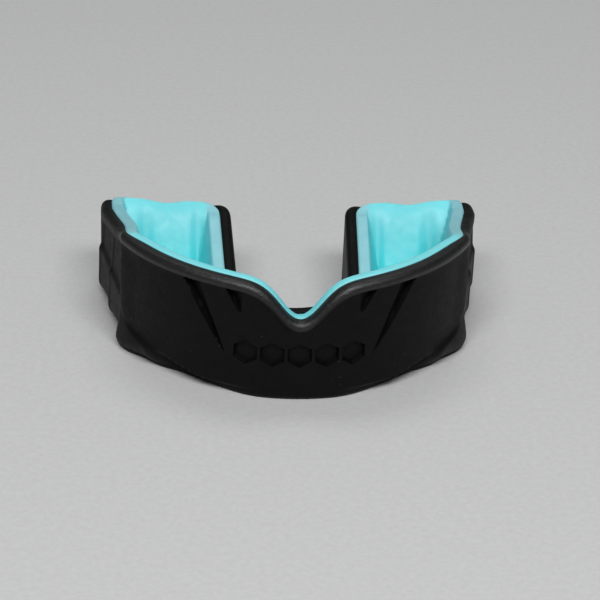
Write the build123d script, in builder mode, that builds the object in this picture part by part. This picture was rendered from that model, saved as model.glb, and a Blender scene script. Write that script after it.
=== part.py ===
"""A two-colour mouthguard lying on its biting face, with the tooth trough upwards.

The frame is firm black rubber, and the liner is soft gel bonded inside it.
Millimetres. X runs across the mouth, -Y is the front (lip side), +Z is up, into the trough.
The origin is the middle of the footprint, on the floor.
"""

import os
from math import cos, degrees, radians, sin, tan

from build123d import *

# ---- plan of the arch (depths are measured back from the front of the shield) ----
overall_depth = 45.0
arch_radius = 33.0            # outer face of the front shield
corner_angle = 65.0           # where the shield ends, each side of the middle
shield_proud = 0.8            # shield above the base wall
bead_proud = 0.4              # rolled rim above the shield
arm_half_width = 33.4         # base wall at its widest place
arm_widest_depth = 39.0       # depth of that place
end_radius = 4.0              # corners of the two arm ends
gap_front_depth = 16.5        # inner arch at the middle
gap_turn_depth = 24.0         # where the inner arch meets the arms
gap_half_front = 9.7          # half the gap between the arms, at the turn
gap_half_back = 10.3          # and at the arm ends

# ---- walls ----
rubber_wall = 2.0
rubber_floor = 3.2
gel_wall = 2.1
gel_floor = 3.0

# ---- heights ----
rim_height = 22.0             # lip-side rim
notch_height = 14.8           # bottom of the notch for the lip tie
notch_slope = 46.0            # degrees
notch_radius = 2.4
shoulder_radius = 8.0
tongue_rim_height = 9.2       # palate-side rim at the front
end_wall_height = 14.2        # rubber behind the gel at the arm ends
gel_lip = 0.2                 # gel above the rubber rim

# ---- relief on the outside ----
bead_drop = 1.5               # height of the rolled rim
shield_corner = 6.0           # rounding of the shield's lower corners
plate_length = 9.4
plate_proud = 0.5
plate_bottoms = (7.0, 8.5)    # front plate, then the one behind it
plate_corner = 8.0
slash_depth = 0.8
hex_count = 5
hex_flat = 4.0
hex_pitch = 4.6
hex_height = 8.6
hex_depth = 0.6
groove_count = 5              # grip grooves under each arm
groove_width = 1.2
groove_depth = 0.5
groove_pitch = 3.6
first_groove_depth = 23.0
groove_margin = 3.0

# ---- worked out from the above ----
front_y = bead_proud - (overall_depth + bead_proud) / 2
back_y = front_y + overall_depth
centre_y = front_y + arch_radius
base_radius = arch_radius - shield_proud
corner_x = base_radius * sin(radians(corner_angle))
corner_y = centre_y - base_radius * cos(radians(corner_angle))
trough_floor = rubber_floor + gel_floor
above_all = rim_height + 10.0
beyond_side = arm_half_width + end_radius

# Rims seen from the side, as (depth, height), from the front to the back.
LIP_RIM = [(0.0, above_all), (20.5, rim_height), (26.0, 19.9), (41.0, 16.8), (43.0, 15.7), (50.0, 15.7)]
FRAME_END = [(41.0, above_all), (41.0, 16.8), (43.0, end_wall_height), (50.0, end_wall_height)]
TONGUE_RIM = [(0.0, tongue_rim_height), (18.0, tongue_rim_height), (24.0, 11.7), (41.0, 15.7), (50.0, 15.7)]
END_RAMP = [(33.0, trough_floor), (42.0, 15.6), (50.0, 23.4), (50.0, trough_floor)]

# Marks engraved in the shield, as (x, height) corners on the +X side.
LONG_SLASH = [(19.5, 20.3), (16.9, 20.3), (11.8, 6.3)]
SHORT_SLASH = [(12.6, 19.8), (9.7, 19.2), (10.0, 15.3)]


def behind(depth):
    """The Y of a place this far behind the front of the shield."""
    return front_y + depth


# ---- outlines in plan ----
def arch_outline():
    """The base outline of the whole horseshoe, with rounded arm ends."""
    gap_turn = (gap_half_front, behind(gap_turn_depth))
    with BuildSketch() as outline:
        with BuildLine():
            ThreePointArc((0, centre_y - base_radius),
                          (base_radius * sin(radians(corner_angle / 2)),
                           centre_y - base_radius * cos(radians(corner_angle / 2))),
                          (corner_x, corner_y))
            Polyline((corner_x, corner_y), (arm_half_width, behind(arm_widest_depth)),
                     (arm_half_width, back_y), (gap_half_back, back_y), gap_turn)
            RadiusArc(gap_turn, (0, behind(gap_front_depth)), gap_radius())
            mirror(about=Plane.YZ)
        make_face()
        end_corners = outline.vertices().group_by(Axis.Y)[-1]
        fillet(end_corners, radius=end_radius)
    return outline.sketch


def gap_radius():
    """Radius of the inner arch, from its width and its rise."""
    rise = gap_turn_depth - gap_front_depth
    return (gap_half_front**2 + rise**2) / (2 * rise)


def inset_arch(amount):
    """The base outline moved inwards all round."""
    with BuildSketch() as inner:
        add(arch_outline())
        offset(amount=-amount, kind=Kind.INTERSECTION)
    return inner.sketch


def tongue_side():
    """The plan area that holds the palate-side walls, up to the middle of the trough."""
    reach = rubber_wall + gel_wall + 1.5
    with BuildSketch() as area:
        with BuildLine():
            Polyline((0, behind(gap_front_depth) - reach),
                     (gap_half_front, behind(gap_front_depth) - reach),
                     (gap_half_front + reach, behind(gap_front_depth) + reach),
                     (gap_half_back + reach, back_y + reach),
                     (0, back_y + reach))
            mirror(about=Plane.YZ)
        make_face()
    return area.sketch


# ---- tools that shape the rims ----
def above_front_rim(lift):
    """Everything above the rim as seen from the front, with its rounded notch."""
    tip = notch_height - notch_radius * (1 / cos(radians(notch_slope)) - 1)
    half_notch = (rim_height - tip) / tan(radians(notch_slope))
    with BuildPart() as cutter:
        with BuildSketch(Plane.XZ.offset(beyond_side)) as profile:
            with BuildLine():
                Polyline((-beyond_side, above_all), (-beyond_side, rim_height + lift),
                         (-half_notch, rim_height + lift), (0, tip + lift),
                         (half_notch, rim_height + lift), (beyond_side, rim_height + lift),
                         (beyond_side, above_all), close=True)
            make_face()
            at_rim = profile.vertices().group_by(Axis.Y)[1]
            fillet(at_rim.sort_by(lambda v: abs(v.X))[:2], radius=shoulder_radius)
            fillet(profile.vertices().sort_by(Axis.Y)[0], radius=notch_radius)
        extrude(amount=-2 * beyond_side)
    return cutter.part


def above_side_line(line, lift):
    """Everything above a line of (depth, height) places, as seen from the side."""
    with BuildPart() as cutter:
        with BuildSketch(Plane.YZ):
            with BuildLine():
                Polyline((behind(line[0][0]), above_all + 1),
                         *[(behind(depth), height + lift) for depth, height in line],
                         (behind(line[-1][0]), above_all + 1), close=True)
            make_face()
        extrude(amount=beyond_side, both=True)
    return cutter.part


def above_tongue_rim(lift):
    """Everything above the palate-side walls, but not over the lip-side ones."""
    with BuildPart() as cutter:
        add(above_side_line(TONGUE_RIM, lift))
        with BuildSketch():
            add(tongue_side())
        extrude(amount=above_all, mode=Mode.INTERSECT)
    return cutter.part


# ---- pieces of relief on the outside ----
def front_band(inner_radius, outer_radius, bottom, top):
    """A curved band along the front, between two radii."""
    with BuildPart() as band:
        with BuildSketch(Plane.XY.offset(bottom)):
            with BuildLine():
                CenterArc((0, centre_y), outer_radius, -90 - corner_angle, 2 * corner_angle)
                CenterArc((0, centre_y), inner_radius, -90 - corner_angle, 2 * corner_angle)
                for side in (-1, 1):
                    across = side * sin(radians(corner_angle))
                    down = -cos(radians(corner_angle))
                    Line((inner_radius * across, centre_y + inner_radius * down),
                         (outer_radius * across, centre_y + outer_radius * down))
            make_face()
        extrude(amount=top - bottom)
    return band.part


def shield():
    """The raised front plate, with rounded lower corners."""
    width = 2 * arch_radius * sin(radians(corner_angle))
    with BuildPart() as plate:
        add(front_band(base_radius, arch_radius, 0, rim_height))
        with BuildSketch(Plane.XZ) as face:
            with Locations((0, rim_height / 2)):
                Rectangle(width, rim_height)
            fillet(face.vertices().group_by(Axis.Y)[0], radius=shield_corner)
        extrude(amount=beyond_side, mode=Mode.INTERSECT)
    return plate.part


def bead():
    """The rolled rim along the top of the shield."""
    with BuildPart() as roll:
        add(front_band(base_radius, arch_radius + bead_proud, 0, rim_height))
        add(above_front_rim(-bead_drop), mode=Mode.INTERSECT)
    return roll.part


def side_plates():
    """Two overlapping plates on the outside of the arm on the +X side."""
    along = Vector(arm_half_width - corner_x, behind(arm_widest_depth) - corner_y)
    wall = Plane(origin=(corner_x, corner_y, 0), x_dir=along, z_dir=along.cross(Vector(0, 0, 1)))
    with BuildPart() as plates:
        for index, bottom in enumerate(plate_bottoms):
            with BuildSketch(wall) as face:
                with Locations((index * plate_length, bottom)):
                    Rectangle(plate_length, rim_height - bottom, align=(Align.MIN, Align.MIN))
                rear_bottom = face.vertices().group_by(Axis.X)[-1].sort_by(Axis.Y)[0]
                fillet(rear_bottom, radius=plate_corner)
            extrude(amount=plate_proud)
    return plates.part


# ---- marks engraved in the shield ----
def engraved_slashes():
    """Two pointed slashes on each side of the middle."""
    with BuildPart() as cutter:
        with BuildSketch(Plane.XZ) as marks:
            for corners in (LONG_SLASH, SHORT_SLASH):
                with BuildLine():
                    Polyline(*corners, close=True)
                make_face()
            mirror(about=Plane.YZ)
        extrude(amount=beyond_side)
        add(front_band(arch_radius - slash_depth, arch_radius + 1, 0, rim_height), mode=Mode.INTERSECT)
    return cutter.part


def hex_dimples():
    """A row of plain six-sided dimples across the middle of the shield."""
    with BuildPart() as cutter:
        for index in range(hex_count):
            turn = degrees((index - (hex_count - 1) / 2) * hex_pitch / arch_radius)
            outward = Vector(0, -1, 0).rotate(Axis.Z, turn)
            seat = Vector(0, centre_y, hex_height) + outward * (arch_radius - hex_depth)
            with BuildSketch(Plane(origin=seat, x_dir=Vector(0, 0, 1), z_dir=outward)):
                RegularPolygon(radius=hex_flat / 2, side_count=6, major_radius=False)
            extrude(amount=2 * hex_depth)
    return cutter.part


def grip_grooves():
    """Shallow grooves across the biting face under both arms."""
    with BuildPart() as cutter:
        with BuildSketch():
            for index in range(groove_count):
                with Locations((0, behind(first_groove_depth + index * groove_pitch))):
                    Rectangle(2 * (arm_half_width - groove_margin), groove_width)
        extrude(amount=groove_depth)
    return cutter.part


# ---- the two mouldings ----
front_rim_cut = above_front_rim(0)
lip_rim_cut = above_side_line(LIP_RIM, 0)
frame_end_cut = above_side_line(FRAME_END, 0)
tongue_rim_cut = above_tongue_rim(0)
gel_front_cut = above_front_rim(gel_lip)
gel_side_cut = above_side_line(LIP_RIM, gel_lip)
gel_tongue_cut = above_tongue_rim(gel_lip)
body_outline = arch_outline()
gel_outline = inset_arch(rubber_wall)
channel_outline = inset_arch(rubber_wall + gel_wall)
shield_plate = shield()
rim_bead = bead()
right_plates = side_plates()
slashes = engraved_slashes()
dimples = hex_dimples()
grooves = grip_grooves()

with BuildPart() as outer_frame:
    with BuildSketch():
        add(body_outline)
    extrude(amount=rim_height)
    add(shield_plate)
    add(rim_bead)
    add(right_plates)
    add(mirror(right_plates, about=Plane.YZ))
    with BuildSketch(Plane.XY.offset(rubber_floor)):
        add(gel_outline)
    extrude(amount=above_all, mode=Mode.SUBTRACT)
    for tool in (front_rim_cut, lip_rim_cut, frame_end_cut, tongue_rim_cut, slashes, dimples, grooves):
        add(tool, mode=Mode.SUBTRACT)

with BuildPart() as tooth_channel:
    with BuildSketch(Plane.XY.offset(trough_floor)):
        add(channel_outline)
    extrude(amount=above_all)
    with BuildSketch(Plane.YZ):
        with BuildLine():
            Polyline(*[(behind(depth), height) for depth, height in END_RAMP], close=True)
        make_face()
    extrude(amount=beyond_side, both=True, mode=Mode.SUBTRACT)

with BuildPart() as gel_liner:
    with BuildSketch(Plane.XY.offset(rubber_floor)):
        add(gel_outline)
    extrude(amount=rim_height + gel_lip - rubber_floor)
    for tool in (tooth_channel.part, gel_front_cut, gel_side_cut, gel_tongue_cut):
        add(tool, mode=Mode.SUBTRACT)

outer_frame.part.label = "outer_frame"
gel_liner.part.label = "gel_liner"

os.makedirs("parts", exist_ok=True)
export_step(outer_frame.part, "parts/outer_frame.step")
export_step(gel_liner.part, "parts/gel_liner.step")
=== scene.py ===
"""Looks of the mouthguard: a black rubber frame with a turquoise gel liner, on a pale floor.

Shape code works in millimetres in the CAD part's own frame, and meshes are scaled to metres
when they are made. A place on the outside is given as (p, z): p is the distance round the
outline from the middle of the front, positive towards +X, and z is the height.
"""

import math

import bmesh
import bpy
import numpy as np
from mathutils import Matrix, Vector
from mathutils.geometry import delaunay_2d_cdt
from mathutils.kdtree import KDTree


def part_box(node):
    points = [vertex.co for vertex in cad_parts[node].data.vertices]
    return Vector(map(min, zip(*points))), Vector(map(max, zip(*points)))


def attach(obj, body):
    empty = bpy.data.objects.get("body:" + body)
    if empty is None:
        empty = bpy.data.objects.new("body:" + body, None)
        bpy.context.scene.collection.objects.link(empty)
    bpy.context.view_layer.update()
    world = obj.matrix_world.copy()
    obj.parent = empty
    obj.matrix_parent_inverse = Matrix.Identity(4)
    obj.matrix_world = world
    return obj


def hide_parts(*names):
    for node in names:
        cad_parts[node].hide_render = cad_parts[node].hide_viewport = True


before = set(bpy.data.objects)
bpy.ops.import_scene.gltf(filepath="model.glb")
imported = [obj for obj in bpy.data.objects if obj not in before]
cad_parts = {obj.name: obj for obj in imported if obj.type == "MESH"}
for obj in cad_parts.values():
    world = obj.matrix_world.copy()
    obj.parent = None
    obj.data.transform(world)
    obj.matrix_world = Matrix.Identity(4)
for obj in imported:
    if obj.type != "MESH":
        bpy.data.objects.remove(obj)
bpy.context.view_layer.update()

MM = 0.001

# ---- driving sizes, in millimetres ----
ARCH_RADIUS = 33.0
CORNER_ANGLE = math.radians(64.6)
ARM_HALF_WIDTH = 33.6
ARM_WIDEST_DEPTH = 38.0
OUTER_END_RADIUS = 3.8
INNER_END_RADIUS = 4.6
GAP_FRONT_DEPTH = 16.5
GAP_TURN_DEPTH = 24.0
GAP_HALF_FRONT = 9.7
GAP_HALF_BACK = 10.3
BEAD_PROUD = 0.4
BEAD_RADIUS = 1.1
ROLL_RADIUS = 1.02
RUBBER_WALL = 2.0
RUBBER_FLOOR = 3.2
GEL_BAND = 1.6
ARM_EXTRA_BAND = 0.5
END_RAMP = 10.0
TROUGH_FLOOR = 6.2
RIM_HEIGHT = 21.95
NOTCH_DEPTH = 7.2
TONGUE_RIM_HEIGHT = 9.2
END_WALL_HEIGHT = 14.2
END_WALL_HALF_LENGTH = 6
BOTTOM_ROUND = 0.9
FAR_DEPTH = 41.0
FRONT_CORNER_THINNING = 0.95
FAR_CORNER_THINNING = 0.4
GEL_BELOW_RIM = 0.12
GEL_EDGE_DROP = 0.30

# (depth from the front, height) along the rims
LIP_RIM = [(19.5, 21.9), (23.5, 20.5), (33, 18.2), (40, 17.0), (43.5, 16.7)]
SOFT_LIP_RIM = [(18.3, 21.9), (22, 21.1), (27, 19.7), (33, 18.3), (40, 17.2)]
PALATE_RIM = [(43, 15.8), (41, 15.7), (24, 11.7), (18.5, TONGUE_RIM_HEIGHT)]
# (distance past the middle of an arm's far end, height) along the gel's wavy far edge
GEL_WAVE = [(-9, 17.1), (-4, 17.0), (0, 15.9), (4, 16.6), (8.5, 16.2)]

frame_low, frame_high = (np.array(corner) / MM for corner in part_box("outer_frame"))
front_y = frame_low[1] + BEAD_PROUD
back_y = frame_high[1]
centre_y = front_y + ARCH_RADIUS


# ---- small helpers ----
def step(value, width):
    """0 well below zero, 1 well above, rounded over the width."""
    t = np.clip(value / width + 0.5, 0.0, 1.0)
    return t * t * (3 - 2 * t)


def bell(value, width):
    """1 at zero, falling smoothly to nothing on both sides."""
    return np.exp(-((value / width) ** 2))


def larger(a, b, blend):
    """The larger of two heights, rounded where they meet."""
    h = np.clip(0.5 + 0.5 * (a - b) / blend, 0.0, 1.0)
    return b + (a - b) * h + blend * h * (1 - h)


# ---- the outline in plan ----
def arc(centre, radius, start, end, spacing=0.05):
    """Points along a circular arc between two angles."""
    count = max(2, int(abs(end - start) * radius / spacing))
    angles = np.linspace(start, end, count)
    return np.stack([centre[0] + radius * np.cos(angles), centre[1] + radius * np.sin(angles)], 1)


def half_outline(spacing=0.05):
    """Evenly spaced x and y of the +X half, from mid front round to the middle of the gap."""
    rise = GAP_TURN_DEPTH - GAP_FRONT_DEPTH
    gap_radius = (GAP_HALF_FRONT**2 + rise**2) / (2 * rise)
    gap_centre = (0.0, front_y + GAP_FRONT_DEPTH + gap_radius)
    turn_angle = math.asin(GAP_HALF_FRONT / gap_radius)
    outer_end = (ARM_HALF_WIDTH - OUTER_END_RADIUS, back_y - OUTER_END_RADIUS)
    inner_end = (GAP_HALF_BACK + INNER_END_RADIUS, back_y - INNER_END_RADIUS)
    runs = [
        arc((0, centre_y), ARCH_RADIUS, -math.pi / 2, CORNER_ANGLE - math.pi / 2),
        np.array([(ARM_HALF_WIDTH, front_y + ARM_WIDEST_DEPTH)]),
        arc(outer_end, OUTER_END_RADIUS, 0, math.pi / 2),
        arc(inner_end, INNER_END_RADIUS, math.pi / 2, math.pi),
        arc(gap_centre, gap_radius, turn_angle - math.pi / 2, -math.pi / 2),
    ]
    corners = np.concatenate(runs)
    along = np.concatenate([[0], np.cumsum(np.hypot(*np.diff(corners, axis=0).T))])
    even = np.linspace(0, along[-1], int(along[-1] / spacing))
    return np.interp(even, along, corners[:, 0]), np.interp(even, along, corners[:, 1])


def gaussian_average(values, spacing, sigma, pad_style):
    """A running average of evenly spaced values, mirrored past both ends."""
    reach = int(4 * sigma / spacing)
    weights = np.exp(-0.5 * (np.arange(-reach, reach + 1) * spacing / sigma) ** 2)
    padded = np.pad(values, reach, mode="reflect", reflect_type=pad_style)
    return np.convolve(padded, weights / weights.sum(), mode="valid")


def measured_outline(spacing=0.05, easing=0.7):
    """The half outline with its kinks eased, as arrays of distance, x, y and outward normal."""
    x, y = half_outline(spacing)
    x = gaussian_average(x, spacing, easing, "odd")
    y = gaussian_average(y, spacing, easing, "even")
    along = np.concatenate([[0], np.cumsum(np.hypot(np.diff(x), np.diff(y)))])
    normal = np.stack([np.gradient(y, along), -np.gradient(x, along)], 1)
    normal /= np.linalg.norm(normal, axis=1)[:, None]
    x[[0, -1]] = 0
    normal[0], normal[-1] = (0, -1), (0, 1)
    return along, x, y, normal[:, 0], normal[:, 1]


OUTLINE = measured_outline()
HALF = OUTLINE[0][-1]
CORNER_P = ARCH_RADIUS * CORNER_ANGLE


def outline_at(p):
    """Plan position and outward normal at distances p, which may be negative."""
    along, x, y, nx, ny = OUTLINE
    side = np.where(p < 0, -1.0, 1.0)
    q = np.abs(p)
    return (side * np.interp(q, along, x), np.interp(q, along, y),
            side * np.interp(q, along, nx), np.interp(q, along, ny))


def place(p, z, out):
    """The 3-D point at (p, z), moved outwards from the base outline."""
    x, y, nx, ny = outline_at(p)
    return np.stack([x + nx * out, y + ny * out, z + 0 * p], -1)


def distance_at_depth(depth, outer):
    """How far round the outline a depth is reached, on the lip side or on the palate side."""
    along, _, y = OUTLINE[:3]
    turn = np.argmax(y)
    depths = y - front_y
    if outer:
        return float(np.interp(depth, depths[:turn], along[:turn]))
    return float(np.interp(-depth, -depths[turn:], along[turn:]))


BACK_P = 0.5 * (distance_at_depth(FAR_DEPTH, True) + distance_at_depth(FAR_DEPTH, False))


def wall_thickness(p):
    """The rubber wall round the gel, thinner at the front corners and at the arms' far corners."""
    front_corner = bell(np.abs(p) - CORNER_P - 0.6, 4.2)
    far_corner = bell(np.abs(p) - BACK_P + 10, 3.0)
    return RUBBER_WALL - FRONT_CORNER_THINNING * front_corner - FAR_CORNER_THINNING * far_corner


# ---- rim heights round the outline ----
def rim_line(points, sigma=1.2):
    """A rounded line through (distance, height) points, as arrays over the half outline."""
    spacing = 0.05
    even = np.arange(0, HALF + spacing, spacing)
    level = gaussian_average(np.interp(even, *zip(*points)), spacing, sigma, "even")
    x = np.interp(even, OUTLINE[0], OUTLINE[1])
    notch = 0.885 * bell(x, 4.8) + 0.115 * bell(x, 11.5)
    return even, level - NOTCH_DEPTH * notch * step(CORNER_P - even, 8.0)


def along_outline(points, outer):
    """(depth, height) points as (distance round the outline, height) points."""
    return [(distance_at_depth(depth, outer), height) for depth, height in points]


def rims():
    """The rubber rim and the gel rim."""
    palate = along_outline(PALATE_RIM, outer=False)
    rubber = [(0, RIM_HEIGHT), *along_outline(LIP_RIM, outer=True)]
    for past in (-END_WALL_HALF_LENGTH, END_WALL_HALF_LENGTH):
        rubber.append((BACK_P + past, END_WALL_HEIGHT))
    rubber += [*palate, (HALF, TONGUE_RIM_HEIGHT)]
    soft_lip = [(0, RIM_HEIGHT), *along_outline(SOFT_LIP_RIM, outer=True)]
    gel = [(p, height - GEL_BELOW_RIM) for p, height in soft_lip]
    gel += [(BACK_P + past, height) for past, height in GEL_WAVE]
    gel += [(p, height - GEL_BELOW_RIM) for p, height in palate] + [(HALF, TONGUE_RIM_HEIGHT - 0.4)]
    return rim_line(rubber), rim_line(gel)


RUBBER_RIM, GEL_RIM = rims()


def rim_height(rim, p):
    return np.interp(np.abs(p), *rim)


def below_rim(rim, p, drop):
    """The place (p, z) a distance under the rim, measured square to the rim line."""
    reach = 0.05
    slope = (rim_height(rim, p + reach) - rim_height(rim, p - reach)) / (2 * reach)
    scale = drop / np.sqrt(1 + slope**2)
    return p + slope * scale, rim_height(rim, p) - scale


# ---- relief on the outside of the rubber ----
def on_arc(x, height):
    """The place (p, z) on the front that stands at x."""
    return ARCH_RADIUS * math.asin(x / ARCH_RADIUS), height


SLASHES = [
    {"outer": on_arc(19.5, 20.3), "inner": on_arc(16.7, 20.2), "tip": on_arc(11.7, 6.2),
     "depth": 1.3},
    {"outer": on_arc(12.5, 19.8), "inner": on_arc(9.6, 19.3), "tip": on_arc(9.95, 15.3),
     "depth": 1.15},
]
HEX_COUNT = 5
HEX_FLAT = 4.0
HEX_PITCH = 4.6
HEX_HEIGHT = 8.6
HEX_DEPTH = 0.85
SHIELD_CORNER = 4.5
SHIELD_FLARE = 0.5
SHIELD_LOW_EDGE = 1.25
PLATE_LENGTH = 9.4
PLATE_COUNT = 2
PLATE_PROUD = 0.05
SHINGLE = 0.85
RIDGE_PROUD = 0.16
RIDGE_BEND_HEIGHT = 9.5
RIDGE_BEND = 1.2
HULL_TOP = 9.0
HULL_TOP_RISE = 1.6
HULL_RADIUS = 3.6
FACET_SET_BACK = 0.45
FACET_LEAN = 0.06
FRONT_CUT_BACK = 2.0
LOBE_PROUD = 0.85
LOBE_TOP_SET_BACK = 0.7
LOBE_FRONT_RADIUS = 4.4
LOBE_REAR_RADIUS = 1.8
BEAD_DROP = 1.85


def inside_line(q, z, start, end):
    """Distance from the line through two places, positive on its right-hand side."""
    along = np.array(end, float) - np.array(start, float)
    along /= np.linalg.norm(along)
    return along[1] * (q - start[0]) - along[0] * (z - start[1])


def slash_depth(q, z, slash):
    """How deep one slash is: a sharp outer wall, and a floor that rises to the inner edge."""
    from_outer = inside_line(q, z, slash["outer"], slash["tip"])
    from_inner = -inside_line(q, z, slash["inner"], slash["tip"])
    width = np.maximum(from_outer + from_inner, 1e-6)
    across = np.clip(from_outer / width, 0, 1)
    depth = np.minimum(slash["depth"], 1.1 * width) * (1 - across) ** 0.8
    inside = step(from_outer - 0.09, 0.18) * (from_inner > 0)
    return depth * inside * step(z - slash["tip"][1], 0.3)


def hex_distance(p, z):
    """Distance into the nearest hexagon of the row, positive inside."""
    last = (HEX_COUNT - 1) / 2
    column = np.clip(np.round(p / HEX_PITCH), -last, last)
    across, up = np.abs(p - column * HEX_PITCH), np.abs(z - HEX_HEIGHT)
    return HEX_FLAT / 2 - np.maximum(across, 0.5 * across + math.sqrt(0.75) * up)


def shield_distance(q, z):
    """Distance into the shield, whose lower edge rises gently and turns up at the corner."""
    low_edge = SHIELD_LOW_EDGE + 0.22 * np.maximum(q - 17, 0)
    beyond, under = q - (CORNER_P - SHIELD_CORNER), SHIELD_CORNER + low_edge - z
    corner = np.hypot(np.maximum(beyond, 0), np.maximum(under, 0)) - SHIELD_CORNER
    flat = np.maximum(beyond, under) - SHIELD_CORNER
    return -np.where((beyond > 0) & (under > 0), corner, flat)


def ridge_lean(z):
    """How far back the upright ridges on the sides have bent at a height."""
    return RIDGE_BEND * np.clip((RIDGE_BEND_HEIGHT - z) / RIDGE_BEND_HEIGHT, 0, 1) ** 1.6


def under_turn(z, radius):
    """How far a surface has turned in at a height, rounding under with the given radius."""
    t = np.clip((radius - z) / radius, 0, 0.98)
    return radius * (1 - np.sqrt(1 - t * t))


def side_relief(q, z):
    """The sides of the arms: overlapping plates, each a facet standing back from a rounded hull."""
    along = (q - CORNER_P - ridge_lean(z)) / PLATE_LENGTH
    part = along - np.floor(along)
    to_ridge = (1 - part) * PLATE_LENGTH
    hull_top = HULL_TOP + HULL_TOP_RISE * part**1.4
    facet = -FACET_SET_BACK * step(z - hull_top - 0.2, 1.6)
    facet = facet - FACET_LEAN * np.maximum(z - hull_top, 0)
    shingle = SHINGLE * (part - 0.5) * step(to_ridge - 0.25, 0.5)
    ridge = RIDGE_PROUD * bell(to_ridge - 0.8, 0.45)
    shape = facet - under_turn(z, HULL_RADIUS) + shingle + ridge + PLATE_PROUD
    near_rim = step(rim_height(RUBBER_RIM, q) - BEAD_DROP - 0.4 - z, 1.6)
    return shape * near_rim * step(along, 0.06) * step(PLATE_COUNT + 0.15 - along, 0.3)


def corner_lobe(q, z):
    """The base under the shield: cut back along the front, and full under the shield's corners."""
    cut_back = FRONT_CUT_BACK * step(q - 13.0, 15.0)
    lobe = step(q - 25.5, 7.0)
    radius = LOBE_FRONT_RADIUS - (LOBE_FRONT_RADIUS - LOBE_REAR_RADIUS) * step(q - 33.0, 7.0)
    proud = LOBE_PROUD - LOBE_TOP_SET_BACK * step(z - 5.0, 7.0) - under_turn(z, radius)
    return -cut_back * (1 - lobe) + lobe * proud


def relief(p, z):
    """How far the outside stands out from the base outline."""
    q = np.abs(p)
    on_shield = step(shield_distance(q, z) - 0.35, 0.9)
    behind = step(q - CORNER_P - ridge_lean(z), 0.5)
    base = behind * side_relief(q, z) + (1 - behind) * corner_lobe(q, z)
    under_bead = step(rim_height(RUBBER_RIM, q) - 3.5 - z, 4.0)
    flare = SHIELD_FLARE * step(q - CORNER_P + 3.0, 5.0) * under_bead
    shape = base * (1 - on_shield) + flare * on_shield
    cut = HEX_DEPTH * step(hex_distance(p, z) - 0.1, 0.22)
    for slash in SLASHES:
        cut = cut + slash_depth(q, z, slash)
    return np.where(q < BACK_P, shape - cut, 0.0)


# ---- mesh building ----
class Skin:
    """Collects patches of one surface, then welds them into a single closed mesh."""

    def __init__(self):
        self.vertices, self.faces, self.count = [], [], 0

    def add(self, vertices, faces):
        self.vertices.append(np.asarray(vertices, float))
        self.faces.extend(tuple(int(i) + self.count for i in face) for face in faces)
        self.count += len(vertices)

    def add_rows(self, rows):
        """Rows of points, each row joined to the next by four-sided faces."""
        rows = np.asarray(rows)
        high, wide = rows.shape[:2]
        index = np.arange(high * wide).reshape(high, wide)
        corners = np.stack([index[:-1, :-1], index[:-1, 1:], index[1:, 1:], index[1:, :-1]], -1)
        self.add(rows.reshape(-1, 3), corners.reshape(-1, 4).tolist())

    def make(self, name, material, node):
        mesh = bpy.data.meshes.new(name)
        mesh.from_pydata((np.concatenate(self.vertices)).tolist(), [], self.faces)
        piece = bpy.data.objects.new(name, mesh)
        bpy.context.scene.collection.objects.link(piece)
        work = bmesh.new()
        work.from_mesh(mesh)
        bmesh.ops.remove_doubles(work, verts=work.verts, dist=0.004)
        bmesh.ops.dissolve_degenerate(work, edges=work.edges, dist=0.001)
        bmesh.ops.recalc_face_normals(work, faces=work.faces)
        bmesh.ops.scale(work, vec=(MM, MM, MM), verts=work.verts)
        work.to_mesh(mesh)
        work.free()
        mesh.shade_smooth()
        mesh.set_sharp_from_angle(angle=math.radians(50))
        mesh.materials.append(material)
        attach(piece, "root")
        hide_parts(node)
        return piece


def triangulate(outline, lines, inner):
    """Triangles inside a closed outline that follow the given lines and use the inner points."""
    points, edges, total = [outline], [], len(outline)
    edges += [(i, (i + 1) % total) for i in range(total)]
    for line in lines:
        points.append(line)
        edges += [(total + i, total + i + 1) for i in range(len(line) - 1)]
        total += len(line)
    points.append(inner)
    flat = [Vector(point) for point in np.concatenate(points).tolist()]
    found = delaunay_2d_cdt(flat, edges, [], 1, 1e-5)
    source = np.array([min(used) if used else -1 for used in found[3]])
    return np.array([tuple(point) for point in found[0]]), found[2], source


def staggered(low, high, spacing):
    """A staggered grid of points over a rectangle."""
    x = np.arange(low[0], high[0], spacing)
    y = np.arange(low[1], high[1], spacing * 0.866)
    grid = np.stack(np.meshgrid(x, y), -1)
    grid[1::2, :, 0] += spacing / 2
    return grid.reshape(-1, 2)


def search_tree(points):
    """A tree that finds the nearest of some points in plan."""
    tree = KDTree(len(points))
    for index, point in enumerate(points):
        tree.insert((point[0], point[1], 0), index)
    tree.balance()
    return tree


def clear_of(points, others, gap):
    """The points that keep a gap from all the others."""
    tree = search_tree(others)
    return points[[tree.find((x, y, 0))[2] > gap for x, y in points]]


def line_distance(points, line, closed=True):
    """Each point's distance from a line in plan, and the line's values where it is nearest."""
    tree = search_tree(line)
    nearest = np.array([tree.find((x, y, 0))[1] for x, y in points])
    best = np.full(len(points), np.inf)
    values = np.zeros((len(points), line.shape[1] - 2))
    for shift in (-1, 0):
        first = nearest + shift
        first = first % len(line) if closed else np.clip(first, 0, len(line) - 2)
        start, end = line[first], line[(first + 1) % len(line)]
        run = end[:, :2] - start[:, :2]
        length = np.maximum((run**2).sum(1), 1e-12)
        t = np.clip(((points - start[:, :2]) * run).sum(1) / length, 0, 1)[:, None]
        away = np.linalg.norm(points - start[:, :2] - run * t, axis=1)
        closer = away < best
        best = np.where(closer, away, best)
        values[closer] = (start[:, 2:] + (end - start)[:, 2:] * t)[closer]
    return best, values


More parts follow.
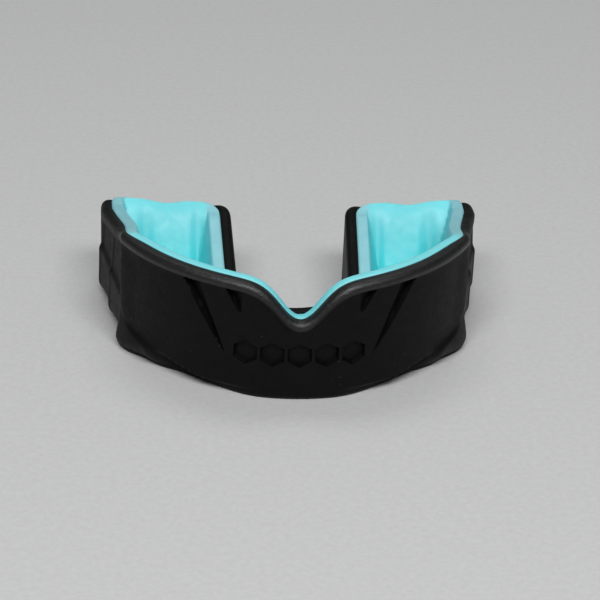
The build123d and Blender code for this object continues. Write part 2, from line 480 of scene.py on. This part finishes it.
def inside_loop(points, loop):
    """Which points lie inside a closed loop."""
    x, y = points[:, :1], points[:, 1:]
    x0, y0 = loop[:, 0], loop[:, 1]
    x1, y1 = np.roll(x0, -1), np.roll(y0, -1)
    crosses = (y0 > y) != (y1 > y)
    safe = np.where(y1 == y0, 1e-12, y1 - y0)
    return (crosses & (x < x0 + (y - y0) * (x1 - x0) / safe)).sum(1) % 2 == 1


def grid_inside(loop, spacing, margin):
    """A staggered grid of points inside a closed loop, kept a little away from it."""
    flat = loop[:, :2]
    grid = staggered(flat.min(0), flat.max(0), spacing)
    grid = grid[inside_loop(grid, flat)]
    return grid[line_distance(grid, flat)[0] > margin]


def fill(skin, loop, inner, height):
    """Closes a loop of 3-D points with a surface given by its height in plan."""
    flat, faces, source = triangulate(loop[:, :2], [], inner)
    on_loop = (source >= 0) & (source < len(loop))
    z = height(flat)
    z[on_loop] = loop[source[on_loop], 2]
    skin.add(np.column_stack([flat, z]), faces)


def vertex_places(piece):
    """Where a piece's vertices are, in millimetres."""
    return np.array([vertex.co[:] for vertex in piece.data.vertices]) / MM


def store(piece, name, share):
    """Stores one number per vertex, for the material to read."""
    attribute = piece.data.attributes.new(name, "FLOAT", "POINT")
    attribute.data.foreach_set("value", share.astype(np.float32))


# ---- stations round the outline ----
def stations():
    """Distances round the outline, closer together along the front and at the slashes."""
    front = np.arange(0, CORNER_P + 2, 0.35)
    rest = np.linspace(front[-1], HALF, int((HALF - front[-1]) / 0.45))[1:]
    extra = [slash[edge][0] + move for slash in SLASHES for edge in ("outer", "inner")
             for move in (-0.3, -0.18, -0.09, 0.0, 0.09)]
    half = np.unique(np.round(np.concatenate([front, rest, extra]), 3))
    half[-1] = HALF
    return np.concatenate([-half[:0:-1], half])


STATIONS = stations()


def profile_rows(rim, profile):
    """Rows of points along the rim for a profile of (outwards, drop) arrays."""
    rows = []
    for out, drop in profile:
        p, z = below_rim(rim, STATIONS, drop)
        rows.append(place(p, z, out))
    return rows


def roll(centre, radius, start, end, count):
    """(outwards, drop) places over a rounded rim, between two angles above the horizontal."""
    angles = np.radians(np.linspace(start, end, count))
    return [(centre + radius * math.cos(a), radius * (1 - math.sin(a))) for a in angles]


def rubber_rim_profile():
    """From the crease under the rolled rim, over its top, to the edge of the gel."""
    p, z = below_rim(RUBBER_RIM, STATIONS, BEAD_DROP)
    surface = relief(p, z)
    wall = wall_thickness(STATIONS)
    front_share = step(CORNER_P + 0.5 - np.abs(STATIONS), 2.0)
    bead = [(0.05, 1.74), (0.15, 1.66), (0.27, 1.58)]
    bead += roll(BEAD_PROUD - BEAD_RADIUS, BEAD_RADIUS, -20, 90, 14)
    rolled = [(-0.01, 1.70), (-0.01, 1.55), (-0.01, 1.35)]
    rolled += roll(-ROLL_RADIUS, ROLL_RADIUS, -4, 90, 14)
    profile = [(surface, BEAD_DROP)]
    for (bead_out, bead_drop), (roll_out, roll_drop) in zip(bead, rolled):
        out = front_share * bead_out + (1 - front_share) * roll_out
        profile.append((out, front_share * bead_drop + (1 - front_share) * roll_drop))
    crest = profile[-1][0]
    for share, drop in ((0.35, 0.02), (0.65, 0.08), (0.85, 0.16), (0.96, 0.24), (1.0, 0.34)):
        profile.append((crest + share * (-wall - crest), drop))
    return profile


def feature_lines():
    """Lines the front mesh follows, so that engraved edges stay crisp."""
    lines = []
    for slash in SLASHES:
        outer, inner, tip = (np.array(slash[key]) for key in ("outer", "inner", "tip"))
        for move in (0.0, 0.07, 0.18, 0.3):
            start = outer - np.array([move * 1.2, 0])
            lines.append(np.linspace(start, tip + [0.0, move], 40))
        lines.append(np.linspace(inner, tip, 40))
    lines += [line * [-1, 1] for line in lines]
    for column in range(HEX_COUNT):
        middle = np.array([(column - (HEX_COUNT - 1) / 2) * HEX_PITCH, HEX_HEIGHT])
        for inset in (-0.02, 0.1, 0.22):
            radius = (HEX_FLAT / 2 - inset) / math.cos(math.pi / 6)
            angles = np.radians(np.arange(7) * 60 + 30)
            ring = middle + radius * np.stack([np.cos(angles), np.sin(angles)], 1)
            fine = [np.linspace(a, b, 9) for a, b in zip(ring[:-1], ring[1:])]
            lines.append(np.concatenate(fine))
    return lines


def mark_rim(piece):
    """Stores how far each vertex lies on the rolled rim of the front, which is worn smooth."""
    places = vertex_places(piece)
    plan = place(STATIONS, 0 * STATIONS, 0)[:, :2]
    line = np.column_stack([plan, rim_height(RUBBER_RIM, STATIONS), np.abs(STATIONS)])
    _, values = line_distance(places[:, :2], line, closed=False)
    on_roll = step(places[:, 2] - values[:, 0] + 1.5, 0.9)
    store(piece, "rim", on_roll * step(CORNER_P + 1 - values[:, 1], 5.0))


def outer_face(skin):
    """The outside of the rubber, from the bottom round to the crease under the rim."""
    crease_p, crease_z = below_rim(RUBBER_RIM, STATIONS, BEAD_DROP)
    sides = np.linspace(BOTTOM_ROUND, crease_z[0], 8)[1:-1]
    outline = np.concatenate([
        np.stack([STATIONS, np.full_like(STATIONS, BOTTOM_ROUND)], 1),
        np.stack([np.full_like(sides, HALF), sides], 1),
        np.stack([crease_p, crease_z], 1)[::-1],
        np.stack([np.full_like(sides, -HALF), sides[::-1]], 1),
    ])
    fine_reach = CORNER_P + 20
    fine = staggered((-fine_reach, BOTTOM_ROUND + 0.25), (fine_reach, RIM_HEIGHT), 0.36)
    coarse = staggered((-HALF + 0.3, BOTTOM_ROUND + 0.4), (HALF - 0.3, RIM_HEIGHT), 0.7)
    coarse = coarse[np.abs(coarse[:, 0]) > fine_reach + 0.3]
    inner = np.concatenate([fine, coarse])

    def under_crease(points, gap):
        return points[points[:, 1] < np.interp(points[:, 0], crease_p, crease_z) - gap]

    lines = [under_crease(line, 0.1) for line in feature_lines()]
    inner = clear_of(under_crease(inner, 0.25), np.concatenate(lines), 0.13)
    flat, faces, _ = triangulate(outline, lines, inner)
    skin.add(place(flat[:, 0], flat[:, 1], relief(flat[:, 0], flat[:, 1])), faces)


def bottom_rows():
    """Rows that round the outside under to the flat biting face."""
    surface = relief(STATIONS, np.full_like(STATIONS, BOTTOM_ROUND))
    rows = []
    for angle in np.radians(np.linspace(0, 90, 7)):
        out = surface - BOTTOM_ROUND * (1 - math.cos(angle))
        rows.append(place(STATIONS, BOTTOM_ROUND * (1 - math.sin(angle)) + 0 * STATIONS, out))
    return rows


GROOVE_COUNT = 5
GROOVE_PITCH = 3.6
GROOVE_WIDTH = 1.2
GROOVE_DEPTH = 0.5
FIRST_GROOVE_DEPTH = 23.0


def biting_face(loop):
    """Height of the flat underside, with shallow grip grooves under the arms."""
    def height(flat):
        depth = flat[:, 1] - front_y
        edge, _ = line_distance(flat, loop[:, :2])
        near = np.zeros(len(flat))
        for index in range(GROOVE_COUNT):
            away = np.abs(depth - FIRST_GROOVE_DEPTH - index * GROOVE_PITCH)
            near = np.maximum(near, step(GROOVE_WIDTH / 2 - away, 0.5))
        return GROOVE_DEPTH * near * step(edge - 1.6, 1.0)
    return height


def rubber_frame(material):
    skin = Skin()
    outer_face(skin)
    rounding = bottom_rows()
    skin.add_rows(rounding)
    rim = profile_rows(RUBBER_RIM, rubber_rim_profile())
    pocket = place(STATIONS, RUBBER_FLOOR + 0 * STATIONS, -wall_thickness(STATIONS))
    skin.add_rows(rim + [pocket])
    under = rounding[-1][:-1]
    fill(skin, under, grid_inside(under, 0.4, 0.2), biting_face(under))
    fill(skin, pocket[:-1], np.zeros((0, 2)), lambda flat: np.full(len(flat), RUBBER_FLOOR))
    piece = skin.make("rubber_frame", material, "outer_frame")
    mark_rim(piece)
    return piece


# ---- the gel liner ----
# (share of the band's width, height) across the flat band on top of the gel
BAND_PROFILE = [(0.0, -GEL_EDGE_DROP), (0.06, -0.13), (0.16, -0.04), (0.3, 0.0), (0.5, -0.03),
                (0.75, 0.0), (0.87, -0.04), (0.95, -0.12), (1.0, -0.28)]
WALL_SLOPE = math.tan(math.radians(76))
TROUGH_MIDDLE = 20.5
TROUGH_CROWN = 0.9
# (distance from the guard's middle, width, share of the full depth)
VALLEYS = [(25.6, 1.3, 1.0), (16.2, 1.0, 0.8)]
VALLEY_DEPTH = 1.5
EDGE_ROUND = 0.5


def gel_band(p):
    """Width of the flat band on top of the gel, a little wider on the arms."""
    return GEL_BAND + ARM_EXTRA_BAND * step(np.abs(p) - CORNER_P, 6.0)


def gel_edges(loop):
    """The gel's edge in three runs: the lip side, the palate side, and the far end of each arm."""
    p = STATIONS[:-1]
    line = np.column_stack([loop, gel_band(p)])
    before_end = loop[:, 1] < loop[:, 1].max() - 3.5
    lip = (np.abs(p) < BACK_P) & before_end
    palate = (np.abs(p) > BACK_P) & before_end
    middle = len(p) // 2
    inner = np.roll(line, -middle, axis=0)[np.roll(palate, -middle)]
    far = (p > 0) & ~lip & ~palate
    return past_ends(line[lip]), past_ends(inner), line[far][np.argsort(line[far][:, 0])]


def past_ends(line, reach=8.0):
    """A line carried straight on past both of its ends, at the same height."""
    runs = []
    for end, before in ((line[0], line[4]), (line[-1], line[-5])):
        way = (end - before)[:2]
        extra = end.copy()
        extra[:2] += way / np.linalg.norm(way) * reach
        runs.append(extra)
    return np.concatenate([runs[:1], line, runs[1:]])


def gel_height(loop):
    """Height of the gel's top: flat band, steep walls, rounded floor and a ramp at each far end."""
    lip, palate, far = gel_edges(loop)

    def wall(flat):
        sides = []
        for line in (lip, palate):
            away, values = line_distance(flat, line, closed=False)
            rim, band = values[:, 0] + GEL_EDGE_DROP, values[:, 1]
            profile = np.interp(away / band, *zip(*BAND_PROFILE))
            sides.append(rim + profile - np.maximum(away - band, 0) * WALL_SLOPE)
        return larger(sides[0], sides[1], 0.2)

    def height(flat):
        side = np.abs(flat[:, 0])
        far_depth = np.interp(side, far[:, 0], far[:, 1])
        far_rim = np.interp(side, far[:, 0], far[:, 2])
        from_end = np.maximum(far_depth - flat[:, 1], 0)
        crown = TROUGH_CROWN * (1 - np.clip(np.abs(side - TROUGH_MIDDLE) / 5.0, 0, 1) ** 2)
        floor = TROUGH_FLOOR + crown * step(14 - from_end, 6.0)
        t = np.clip(from_end / END_RAMP, 0, 1)
        descent = 0.25 * t + 0.75 * t * t * (3 - 2 * t)
        ramp = far_rim + GEL_EDGE_DROP - (far_rim - TROUGH_FLOOR + 1) * descent
        valley = sum(share * bell(side - middle, width) for middle, width, share in VALLEYS)
        ramp = ramp - VALLEY_DEPTH * valley * step(from_end - 2.5, 6.0)
        shape = larger(larger(wall(flat), floor, 1.4), ramp, 0.7)
        edge, near = line_distance(flat, loop)
        t = 1 - np.clip(edge / EDGE_ROUND, 0, 1)
        soft_edge = near[:, 0] + GEL_EDGE_DROP * np.sqrt(1 - t * t)
        ceiling = soft_edge + 3 * np.maximum(edge - EDGE_ROUND, 0)
        return np.where(edge < 0.9, -larger(-shape, -ceiling, 0.06), shape)
    return height


def mark_band_sheen(piece, loop):
    """Stores how far each vertex lies on the gel's flat band rather than in the trough, as the mask
    for the painted sheen on the band's top, faint at the front and full on the arms.
    """
    places = vertex_places(piece)
    lip, palate, _ = gel_edges(loop)
    share = np.zeros(len(places))
    for line in (lip, palate):
        away, values = line_distance(places[:, :2], line, closed=False)
        on_arm = 0.15 + 0.85 * (values[:, 1] - GEL_BAND) / ARM_EXTRA_BAND
        share = np.maximum(share, on_arm * step(values[:, 1] + 0.2 - away, 1.3))
    store(piece, "band", share * step(places[:, 2] - RUBBER_FLOOR - 1, 1.0))


def gel_rings(loop):
    """Points that follow the gel's edge at set distances, except where tight corners fold them."""
    x, y, nx, ny = outline_at(STATIONS[:-1])
    wall, band = wall_thickness(STATIONS[:-1]), gel_band(STATIONS[:-1])
    aways = [share * band for share in (0.06, 0.16, 0.3, 0.5, 0.75, 0.87, 0.95, 1.0)]
    aways += [band + more for more in (0.12, 0.3, 0.55, 0.85, 1.2, 1.6, 2.05)]
    rings = [np.stack([x - nx * (wall + away), y - ny * (wall + away)], 1) for away in aways]
    rings, wanted = np.concatenate(rings), np.concatenate(aways)
    good = inside_loop(rings, loop[:, :2])
    good &= np.abs(line_distance(rings, loop[:, :2])[0] - wanted) < 0.04
    return rings[good]


def gel_liner(material):
    skin = Skin()
    out = -wall_thickness(STATIONS)
    floor = place(STATIONS, RUBBER_FLOOR + 0 * STATIONS, out)
    under_rim = profile_rows(GEL_RIM, [(out, 0.75)])
    edge = place(STATIONS, rim_height(GEL_RIM, STATIONS) - GEL_EDGE_DROP, out)
    skin.add_rows([floor, *under_rim, edge])
    loop = edge[:-1]
    rings = gel_rings(loop)
    grid = clear_of(grid_inside(loop, 0.4, 0.25), rings, 0.3)
    fill(skin, loop, np.concatenate([grid, rings]), gel_height(loop))
    fill(skin, floor[:-1], np.zeros((0, 2)), lambda flat: np.full(len(flat), RUBBER_FLOOR))
    piece = skin.make("gel_lining", material, "gel_liner")
    mark_band_sheen(piece, loop)
    return piece


# ---- materials ----
class Recipe:
    """A node material under construction, with short calls for the nodes used here."""

    def __init__(self, name):
        self.material = bpy.data.materials.new(name)
        self.material.use_nodes = True
        self.nodes = self.material.node_tree.nodes
        self.links = self.material.node_tree.links
        self.shader = self.nodes["Principled BSDF"]
        self.where = self.nodes.new("ShaderNodeTexCoord").outputs["Object"]

    def noise(self, scale, detail=2.0, roughness=0.5):
        node = self.nodes.new("ShaderNodeTexNoise")
        self.links.new(self.where, node.inputs["Vector"])
        node.inputs["Scale"].default_value = scale
        node.inputs["Detail"].default_value = detail
        node.inputs["Roughness"].default_value = roughness
        return node.outputs["Fac"]

    def stored(self, name):
        """A number stored on the mesh."""
        node = self.nodes.new("ShaderNodeAttribute")
        node.attribute_name = name
        return node.outputs["Fac"]

    def cells(self, scale):
        node = self.nodes.new("ShaderNodeTexVoronoi")
        self.links.new(self.where, node.inputs["Vector"])
        node.inputs["Scale"].default_value = scale
        return node

    def ramp(self, value, stops):
        """Maps a value through (position, grey or colour) stops."""
        node = self.nodes.new("ShaderNodeValToRGB")
        self.links.new(value, node.inputs["Fac"])
        elements = node.color_ramp.elements
        while len(elements) < len(stops):
            elements.new(0.5)
        for element, (position, colour) in zip(elements, stops):
            element.position = position
            shade = colour if isinstance(colour, tuple) else (colour, colour, colour)
            element.color = (*shade, 1.0)
        return node.outputs["Color"]

    def math(self, operation, first, second):
        node = self.nodes.new("ShaderNodeMath")
        node.operation = operation
        for socket, value in zip(node.inputs, (first, second)):
            if isinstance(value, (int, float)):
                socket.default_value = value
            else:
                self.links.new(value, socket)
        return node.outputs["Value"]

    def mix(self, share, first, second):
        """Blends two colours by a share that varies over the surface."""
        node = self.nodes.new("ShaderNodeMix")
        node.data_type = "RGBA"
        self.links.new(share, node.inputs["Factor"])
        for socket, colour in ((node.inputs["A"], first), (node.inputs["B"], second)):
            if isinstance(colour, tuple):
                socket.default_value = (*colour, 1.0)
            else:
                self.links.new(colour, socket)
        return node.outputs["Result"]

    def bump(self, height, depth, under=None):
        """Bumps of a real depth in metres, laid over an earlier bump."""
        node = self.nodes.new("ShaderNodeBump")
        node.inputs["Distance"].default_value = depth
        self.links.new(height, node.inputs["Height"])
        if under is not None:
            self.links.new(under, node.inputs["Normal"])
        return node.outputs["Normal"]

    def use(self, socket, value):
        if isinstance(value, bpy.types.NodeSocket):
            self.links.new(value, self.shader.inputs[socket])
        else:
            self.shader.inputs[socket].default_value = value


def black_rubber():
    """Satin black rubber with a fine moulded grain, faint mottling and a little pale dust."""
    recipe = Recipe("black_rubber")
    mottle = recipe.ramp(recipe.noise(420, 4, 0.6), [(0.3, 0.0015), (0.7, 0.0030)])
    dust = recipe.cells(900)
    near_centre = recipe.ramp(dust.outputs["Distance"], [(0.05, 1.0), (0.11, 0.0)])
    rare = recipe.ramp(recipe.noise(260, 2), [(0.60, 0.0), (0.66, 1.0)])
    speck = recipe.math("MULTIPLY", near_centre, rare)
    recipe.use("Base Color", recipe.mix(speck, mottle, (0.06, 0.06, 0.055)))
    patchy = recipe.ramp(recipe.noise(900, 4, 0.7), [(0.3, 0.75), (0.7, 1.0)])
    worn = recipe.math("MULTIPLY", recipe.stored("rim"), patchy)
    recipe.use("Roughness", recipe.ramp(recipe.noise(700, 3, 0.6), [(0.3, 0.46), (0.7, 0.56)]))
    recipe.use("Specular IOR Level", 0.13)
    recipe.use("Coat Weight", worn)
    recipe.use("Coat Roughness", 0.37)
    grain = recipe.bump(recipe.noise(3000, 3, 0.65), 0.00010)
    skin = recipe.bump(recipe.noise(260, 2), 0.00010, grain)
    recipe.use("Normal", skin)
    recipe.use("Coat Normal", skin)
    return recipe.material


def turquoise_gel():
    """Soft satin gel: milky turquoise with light under its skin, its colour darker and deeper low
    in the trough and lighter up at the rims, which is painted shade and light with a little of the
    deeper tint of thicker gel.
    """
    recipe = Recipe("turquoise_gel")
    axes = recipe.nodes.new("ShaderNodeSeparateXYZ")
    recipe.links.new(recipe.where, axes.inputs["Vector"])
    # Painted shade and light by height: the trough colours darken and deepen towards the trough's
    # foot and lighten towards the rims, and the top stop lifts the thin gel line at the front rim
    # out of its shade.
    cloud = recipe.math("MULTIPLY", recipe.noise(110, 3, 0.55), 0.004)
    level = recipe.math("MULTIPLY", recipe.math("ADD", axes.outputs["Z"], cloud), 40.0)
    trough = recipe.ramp(level, [(0.26, (0.030, 0.54, 0.58)), (0.42, (0.075, 0.60, 0.64)),
                                 (0.64, (0.140, 0.63, 0.68)), (0.8, (0.20, 0.74, 0.80))])
    # Painted sheen: the flat band on top of the gel gets a paler, greyer turquoise that stands in
    # for the satin reflection of the lights on its up-facing top.
    band_sheen_stops = [(0.3, (0.23, 0.54, 0.60)), (0.7, (0.28, 0.60, 0.66))]
    pale = recipe.ramp(recipe.noise(240, 3, 0.6), band_sheen_stops)
    recipe.use("Base Color", recipe.mix(recipe.stored("band"), trough, pale))
    recipe.use("Roughness", recipe.ramp(recipe.noise(600, 3), [(0.3, 0.40), (0.7, 0.54)]))
    recipe.use("Specular IOR Level", 0.5)
    recipe.use("Subsurface Weight", 0.45)
    recipe.use("Subsurface Radius", (0.0006, 0.0016, 0.0018))
    recipe.use("Subsurface Scale", 1.0)
    grain = recipe.bump(recipe.noise(3200, 2), 0.00001)
    recipe.use("Normal", recipe.bump(recipe.noise(330, 2), 0.00009, grain))
    return recipe.material


def pale_floor():
    """Matt pale board with a faint paper grain."""
    recipe = Recipe("pale_board")
    recipe.use("Base Color", recipe.ramp(recipe.noise(900, 4, 0.7), [(0.3, 0.53), (0.7, 0.58)]))
    recipe.use("Roughness", 0.9)
    recipe.use("Specular IOR Level", 0.2)
    recipe.use("Normal", recipe.bump(recipe.noise(1400, 4, 0.7), 0.00005))
    return recipe.material


# ---- floor, lights and camera ----
# azimuth, elevation and roll in degrees; the rest in millimetres
CAMERA_ANGLES = (-4.55, 28.0, 2.45)
CAMERA_LENS = 135.9
CAMERA_TARGET_DEPTH = 23.5
CAMERA_TARGET_HEIGHT = 1.4
CAMERA_BACK = 400.0
CAMERA_RIGHT = 1.69
CAMERA_UP = 4.58


def add_floor(half_side=1.5):
    mesh = bpy.data.meshes.new("floor")
    corners = [(-half_side, -half_side, 0), (half_side, -half_side, 0),
               (half_side, half_side, 0), (-half_side, half_side, 0)]
    mesh.from_pydata(corners, [], [(0, 1, 2, 3)])
    mesh.materials.append(pale_floor())
    floor = bpy.data.objects.new("floor", mesh)
    bpy.context.scene.collection.objects.link(floor)


def add_area_light(name, place_3d, target, size, power):
    """A soft box of the given width and height, facing the target."""
    light = bpy.data.lights.new(name, "AREA")
    light.shape = "RECTANGLE"
    light.size, light.size_y = size
    light.energy = power
    lamp = bpy.data.objects.new(name, light)
    lamp.location = place_3d
    lamp.rotation_euler = (Vector(target) - Vector(place_3d)).to_track_quat("-Z", "Y").to_euler()
    bpy.context.scene.collection.objects.link(lamp)


def add_world(strength):
    world = bpy.data.worlds.new("studio")
    world.use_nodes = True
    background = world.node_tree.nodes["Background"]
    background.inputs["Color"].default_value = (0.93, 0.95, 1.0, 1.0)
    background.inputs["Strength"].default_value = strength
    bpy.context.scene.world = world


def add_camera():
    """A long lens, low in front of the guard and rolled slightly."""
    azimuth, elevation, roll_angle = (math.radians(angle) for angle in CAMERA_ANGLES)
    back = Vector((math.sin(azimuth) * math.cos(elevation),
                   -math.cos(azimuth) * math.cos(elevation), math.sin(elevation)))
    level_right = Vector((math.cos(azimuth), math.sin(azimuth), 0))
    level_up = back.cross(level_right)
    right = level_right * math.cos(roll_angle) + level_up * math.sin(roll_angle)
    up = back.cross(right)
    camera = bpy.data.objects.new("camera", bpy.data.cameras.new("camera"))
    camera.data.lens = CAMERA_LENS
    camera.data.clip_start = 0.01
    target = Vector((0, front_y + CAMERA_TARGET_DEPTH, CAMERA_TARGET_HEIGHT)) * MM
    spot = target + (back * CAMERA_BACK + right * CAMERA_RIGHT + up * CAMERA_UP) * MM
    camera.matrix_world = Matrix.Translation(spot) @ Matrix((right, up, back)).transposed().to_4x4()
    bpy.context.scene.collection.objects.link(camera)
    bpy.context.scene.camera = camera


# ---- the scene ----
rubber_frame(black_rubber())
gel_liner(turquoise_gel())
add_floor()
add_area_light("key", (0.0, -0.56, 0.74), (0, 0, 0), (0.8, 0.22), 8.0)
add_area_light("overhead", (0.0, 0.35, 0.85), (0, 0, 0), (0.5, 0.3), 1.5)
add_world(0.14)
add_camera()
bpy.context.scene.view_settings.view_transform = "Standard"
